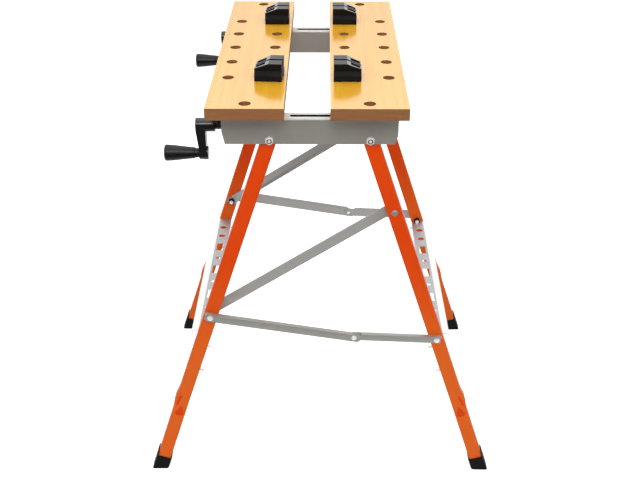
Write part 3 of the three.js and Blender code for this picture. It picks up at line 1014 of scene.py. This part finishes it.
@dataclass
class Legs(Bench):
    """Bent tube legs with their feet, shelves, bolts and studs."""

    pivot_x: float = 0.084
    pivot_z: float = 0.708
    splay: float = math.radians(18.3)
    width: float = 26.0
    depth: float = 22.0
    corner: float = 3.4
    wall: float = 1.5
    out: float = 234.5
    kick: float = 12.0
    bend: float = 577.0
    swelling: float = 2.6
    crease: float = 3.2
    flat: float = 4.2
    pressed_from: float = 1.3
    brace_left: tuple[float, float] = (-0.2008, 0.3548)
    brace_right: tuple[float, float] = (0.2171, 0.3054)
    nut_inside: float = 0.2236
    lip: float = 12.5
    screws: tuple[float, float] = (445.0, 502.0)

    @property
    def floor(self) -> float:
        """Distance down the leg from its pivot to the floor, in millimetres."""
        return self.pivot_z / MM / math.cos(self.splay)

    def frame_of(self, across: int) -> Matrix:
        """The place of a leg's own frame, with the pivot at its origin and the leg straight down."""
        at = Matrix.Translation((across * self.pivot_x, 0.0, self.pivot_z))
        return at @ Matrix.Rotation(-across * self.splay, 4, "Y")

    def build(self) -> None:
        """Makes all four legs and what is on them."""
        for side, across in SIDES.items():
            body = f"{side}_legs"
            self.shelf(side, across)
            for end, sign in ENDS.items():
                self.leg(side, end, across, sign)
                self.eased(f"{side}_{end}_foot", [self.finishes.rubber], body, Slot.BLACK, 0.7, 3)
                self.cross_bolts(side, end, across, sign)
        for end in ENDS:
            self.brace_bolt(f"left_{end}_brace_bolt", "left_legs", self.brace_left)
            self.brace_bolt(f"right_{end}_brace_stud", "right_legs", self.brace_right)
            self.eased(f"right_{end}_diagonal_bolt", [self.finishes.dull], "right_legs", Slot.ZINC, 0.5)

    def shelf(self, side: str, across: int) -> None:
        """Makes a tool shelf whose outer lip is painted brighter than its perforated strip, a painted
        highlight.

        Args:
            side: left or right.
            across: -1 on the left and 1 on the right.
        """
        node = f"{side}_tool_shelf"
        shape = Shape.copied(self.frame["nodes"][node])
        fold = max(across * v.co.x for v in shape.bm.verts) - self.lip * MM
        everything = [*shape.bm.verts, *shape.bm.edges, *shape.bm.faces]
        bmesh.ops.bisect_plane(
            shape.bm, geom=everything, dist=1e-6, plane_co=(across * fold, 0.0, 0.0), plane_no=(1.0, 0.0, 0.0)
        )
        # Painted highlight: the lip's faces take the near-white zinc.
        shape.painted(1, lambda f: across * f.calc_center_median().x > fold)
        shape.bevelled(0.45)
        materials = [self.finishes.shelf, self.finishes.lip]
        shape.piece(f"{node}_dressed", materials, f"{side}_legs", Slot.ZINC, [node])

    def brace_bolt(self, node: str, body: str, axis: tuple[float, float]) -> None:
        """Makes a brace's bolt with bright ends and a nut inside the leg that is painted dark as painted
        shade.

        Args:
            node: the node it stands for.
            body: the body it rides on.
            axis: where it crosses the end's plane, as X and Z.
        """
        shape = Shape.copied(self.frame["nodes"][node]).bevelled(0.5)

        def on_nut(face: bmesh.types.BMFace) -> bool:
            """Whether a face is on the nut and not on the bolt's end."""
            radius = max(math.hypot(v.co.x - axis[0], v.co.z - axis[1]) for v in face.verts)
            return abs(face.calc_center_median().y) < self.nut_inside and radius > 0.0043

        # Painted shade: the nut inside the leg takes the dark finish.
        shape.painted(1, on_nut)
        shape.piece(f"{node}_dressed", [self.finishes.zinc, self.finishes.dark], body, Slot.ZINC, [node])

    def kicked(self, depth: float) -> float:
        """How far the lower leg has kicked outwards at a depth, in millimetres."""
        if depth < self.bend:
            return 0.0
        return self.kick * (depth - self.bend) / (self.floor - self.bend)

    def ring(self, depth: float, inset: float, across: int, sign: int) -> list[Vector]:
        """One ring of the tube's skin in the leg's own frame.

        Args:
            depth: how far down the leg it is, in millimetres.
            inset: how far it lies inside the outer skin, in millimetres.
            across: -1 on the left and 1 on the right.
            sign: -1 at the front end and 1 at the rear end.

        Returns:
            The ring's points, in metres.
        """
        half_w = self.width / 2 - inset
        half_d = self.depth / 2 - inset
        radius = max(self.corner - inset, 0.8)
        flat = [half_w - radius, half_d - radius]
        points: list[tuple[float, float]] = []
        for quarter in range(4):
            cx = flat[0] * (1 if quarter in (0, 3) else -1)
            cy = flat[1] * (1 if quarter in (0, 1) else -1)
            for step in range(6):
                angle = math.radians(90.0 * quarter + 18.0 * step)
                points.append((cx + radius * math.cos(angle), cy + radius * math.sin(angle)))
            if quarter in (0, 2):
                face_y = cy + radius * (1 if cy > 0 else -1)
                points.extend((-cx * (2 * k / 14 - 1), face_y) for k in range(1, 14))
        middle = self.out + self.kicked(depth)
        ring = []
        for x, y in points:
            pressed = self.dent(x * across, y, depth) if inset == 0.0 else 0.0
            wide = across * self.bulge(x * across, depth) if inset == 0.0 else 0.0
            ring.append(Vector(((x + wide) * MM, sign * (middle + y - pressed) * MM, -depth * MM)))
        return ring

    def bulge(self, x: float, depth: float) -> float:
        """How far the leg's outward side is squeezed out at the bend.

        Args:
            x: place across the leg, positive on its outward side, in millimetres.
            depth: place along the leg, in millimetres.

        Returns:
            The swelling, in millimetres.
        """
        side = max(0.0, x / (self.width / 2))
        return self.swelling * side**3 * math.exp(-(((depth - self.bend + 1.0) / 15.0) ** 2))

    def dent(self, x: float, y: float, depth: float) -> float:
        """How far the outer face is pressed in by the bend's crease and the flat below it.

        Args:
            x: place across the leg, positive on its outward side, in millimetres.
            y: place through the leg, in millimetres.
            depth: place along the leg, in millimetres.

        Returns:
            The depth of the dent, in millimetres.
        """
        if y < self.depth / 2 - 1.0:
            return 0.0
        along = depth - self.bend
        crease = math.exp(-(((x - 6.4 - along * 0.15) / 2.4) ** 2) - (abs(along - 2.0) / 13.0) ** 4)
        run = min(max((along - 6.0) / 29.0, 0.0), 1.0)
        ending = min(max((38.0 - along) / 4.0, 0.0), 1.0)
        flat = math.exp(-(((x + 1.5) / (1.6 + 7.4 * run)) ** 2)) * run * ending
        return self.crease * crease + self.flat * flat

    def leg(self, side: str, end: str, across: int, sign: int) -> None:
        """Makes one leg tube.

        Args:
            side: left or right.
            end: front or rear.
            across: -1 on the left and 1 on the right.
            sign: -1 at the front end and 1 at the rear end.
        """
        last = (self.pivot_z / MM - 9.0) / math.cos(self.splay)
        near = [self.bend - 40.0 + 2.5 * i for i in range(36)]
        stops = [-10.5, -4.0, 60.0, *[60.0 + 47.0 * i for i in range(1, 10)], *near, 640.0, last]
        outer = [self.ring(d, 0.0, across, sign) for d in stops]
        inner = [self.ring(d, self.wall, across, sign) for d in reversed(stops)]
        shape = Shape().sleeve([*outer, *inner, outer[0]])
        skin = self.out + self.depth / 2 - 4.0

        def pressed(face: bmesh.types.BMFace) -> bool:
            """Whether a face of the outer skin lies deep enough in a dent to take the painted shade."""
            x, y, z = face.calc_center_median() / MM
            deep = self.dent(across * x, self.depth / 2, -z) > self.pressed_from
            return deep and abs(y) > skin and -z > self.bend - 30.0

        # Painted shade: faces deep in a dent get the orange without the painted sheen.
        shape.painted(1, pressed)
        shape.moved(self.frame_of(across))
        node = f"{side}_{end}_leg"
        materials = [self.finishes.orange, self.finishes.dent_without_sheen]
        shape.piece(f"{node}_dressed", materials, f"{side}_legs", Slot.ORANGE, [node])

    def cross_bolts(self, side: str, end: str, across: int, sign: int) -> None:
        """Makes the two screws across a leg below its shelf, with a low head outside and a tip inside.

        Args:
            side: left or right.
            end: front or rear.
            across: -1 on the left and 1 on the right.
            sign: -1 at the front end and 1 at the rear end.
        """
        half = self.width / 2
        head = [(0.0, half + 1.8), (1.6, half + 1.5), (2.6, half + 0.7), (2.8, half + 0.1), (0.0, half + 0.1)]
        tip = [
            (0.0, -half - 0.1), (1.7, -half - 0.1), (1.7, -half - 5.6),
            (1.9, -half - 5.7), (1.9, -half - 7.2), (0.0, -half - 7.6),
        ]
        for number, depth in enumerate(self.screws, 1):
            centre = Vector((0.0, sign * self.out * MM, -depth * MM))
            shape = Shape()
            for profile in (head, tip):
                shape.turned([(r, across * t) for r, t in profile], centre, Axis.X, 16)
            shape.painted(1, lambda f: across * f.calc_center_median().x < -(half + 5.6) * MM)
            shape.moved(self.frame_of(across))
            name = f"{side}_{end}_cross_bolt_{number}"
            shape.piece(name, [self.finishes.zinc, self.finishes.dull], f"{side}_legs", Slot.ZINC)


@dataclass
class Linkage(Bench):
    """Knee braces, their rivets and the diagonals."""

    def build(self) -> None:
        """Makes the linkage of both ends."""
        # The rear end's braces and diagonal take darker copies of the grey paint: painted shade.
        brace = {"front": [self.finishes.brace], "rear": [self.finishes.shaded_rear_brace]}
        diagonal = {"front": [self.finishes.diagonal], "rear": [self.finishes.rear_diagonal]}
        zinc = [self.finishes.zinc]
        for end in ENDS:
            self.eased(f"{end}_brace_long", brace[end], f"{end}_brace_long", Slot.GREY, 0.55)
            self.eased(f"{end}_knee_rivet", zinc, f"{end}_brace_long", Slot.ZINC, 0.4)
            self.eased(f"{end}_brace_short", brace[end], f"{end}_brace_short", Slot.GREY, 0.55)
            self.eased(f"{end}_brace_end_rivet", zinc, f"{end}_brace_short", Slot.ZINC, 0.4)
            self.eased(f"{end}_diagonal", diagonal[end], f"{end}_diagonal", Slot.GREY, 0.6)


@dataclass
class Studio:
    """The camera, a pale floor and soft light."""

    camera_place: tuple[float, float, float] = (0.009, -1.775, 1.374)
    pitch: float = 60.72
    yaw: float = 0.33
    focal_pixels: float = 998.0
    image_width: float = 640.0
    sensor: float = 36.0

    def build(self) -> None:
        """Makes the camera, the floor, the lamps and the world."""
        self.camera()
        self.floor()
        self.lamp("front", (0.0, -2.5, 2.8), 1.4, 50.0)
        self.lamp("left", (-2.2, -2.4, 2.5), 1.5, 27.0)
        self.lamp("right", (2.2, -2.4, 2.5), 1.5, 27.0)
        self.lamp("top", (0.0, 0.3, 3.2), 3.0, 46.0)
        self.world()

    def camera(self) -> None:
        """Stands the camera where the photograph was taken from."""
        data = bpy.data.cameras.new("camera")
        data.sensor_width = self.sensor
        data.lens = self.focal_pixels * self.sensor / self.image_width
        made = bpy.data.objects.new("camera", data)
        made.location = self.camera_place
        made.rotation_euler = (math.radians(self.pitch), 0.0, math.radians(self.yaw))
        bpy.context.scene.collection.objects.link(made)
        bpy.context.scene.camera = made

    def lamp(self, name: str, place: tuple[float, float, float], size: float, watts: float) -> None:
        """Hangs a square soft light that looks at the bench.

        Args:
            name: its name.
            place: where it hangs.
            size: its side, in metres.
            watts: its power.
        """
        data = bpy.data.lights.new(name, "AREA")
        data.shape = "SQUARE"
        data.size = size
        data.energy = watts
        made = bpy.data.objects.new(name, data)
        made.location = place
        made.rotation_euler = (Vector((0.0, 0.0, 0.45)) - Vector(place)).to_track_quat("-Z", "Y").to_euler()
        bpy.context.scene.collection.objects.link(made)

    def floor(self) -> None:
        """Lays a large pale floor that keeps a faint shadow."""
        mesh = bpy.data.meshes.new("floor")
        grid = bmesh.new()
        bmesh.ops.create_grid(grid, x_segments=1, y_segments=1, size=30.0)
        grid.to_mesh(mesh)
        grid.free()
        s = Shader("pale_floor")
        x, y, _ = s.split(s.place())
        wide = (x * x + y * y).step(0.4, 2.2)
        mirrored = s.rays("Is Glossy Ray")
        ahead = y.step(-0.3, -0.9)
        seen = s.rays("Is Camera Ray", "Is Transmission Ray").maximum(mirrored * (1.0 - ahead * 0.9))
        level = seen * (1.0 - (1.0 - ahead) * (1.0 - wide) * 0.32)
        colour = s.mix(mirrored * ahead, (0.8, 0.8, 0.8), (0.04, 0.04, 0.04))
        diffuse = s.node("BsdfDiffuse", inputs={"Color": colour})
        glow = s.node("Emission", inputs={"Color": s.mix(level, (0.0, 0.0, 0.0), (1.0, 1.0, 1.0))})
        lifted = s.node("AddShader", inputs={0: diffuse, 1: glow})
        mesh.materials.append(s.end(lifted))
        made = bpy.data.objects.new("floor", mesh)
        made.location = (0.0, 0.0, -0.0004)
        bpy.context.scene.collection.objects.link(made)

    def world(self) -> None:
        """Surrounds the bench with a white room that is dim behind the camera."""
        world = bpy.data.worlds.new("white_room")
        s = Shader(world)
        towards = s.split(s.node("TexCoord", output="Generated"))[1]
        mirrored = s.rays("Is Glossy Ray") * (towards.step(-0.6, 0.1) * 0.85 + 0.15)
        level = s.rays("Is Camera Ray", "Is Transmission Ray").maximum(mirrored).maximum(0.13)
        back = s.node("Background", inputs={"Color": (1.0, 1.0, 1.0, 1.0), "Strength": level})
        s.node("OutputWorld", inputs={"Surface": back})
        bpy.context.scene.world = world
        bpy.context.scene.view_settings.view_transform = "Standard"


def main() -> None:
    """Builds the bench in order."""
    logging.basicConfig(level=logging.INFO, format="%(name)s: %(message)s")
    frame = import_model()
    Studio().build()
    finishes = Finishes()
    for part in (Worktop, EndFrames, Vice, Dogs, Legs, Linkage):
        part(frame, finishes).build()


if __name__ == "__main__":
    main()
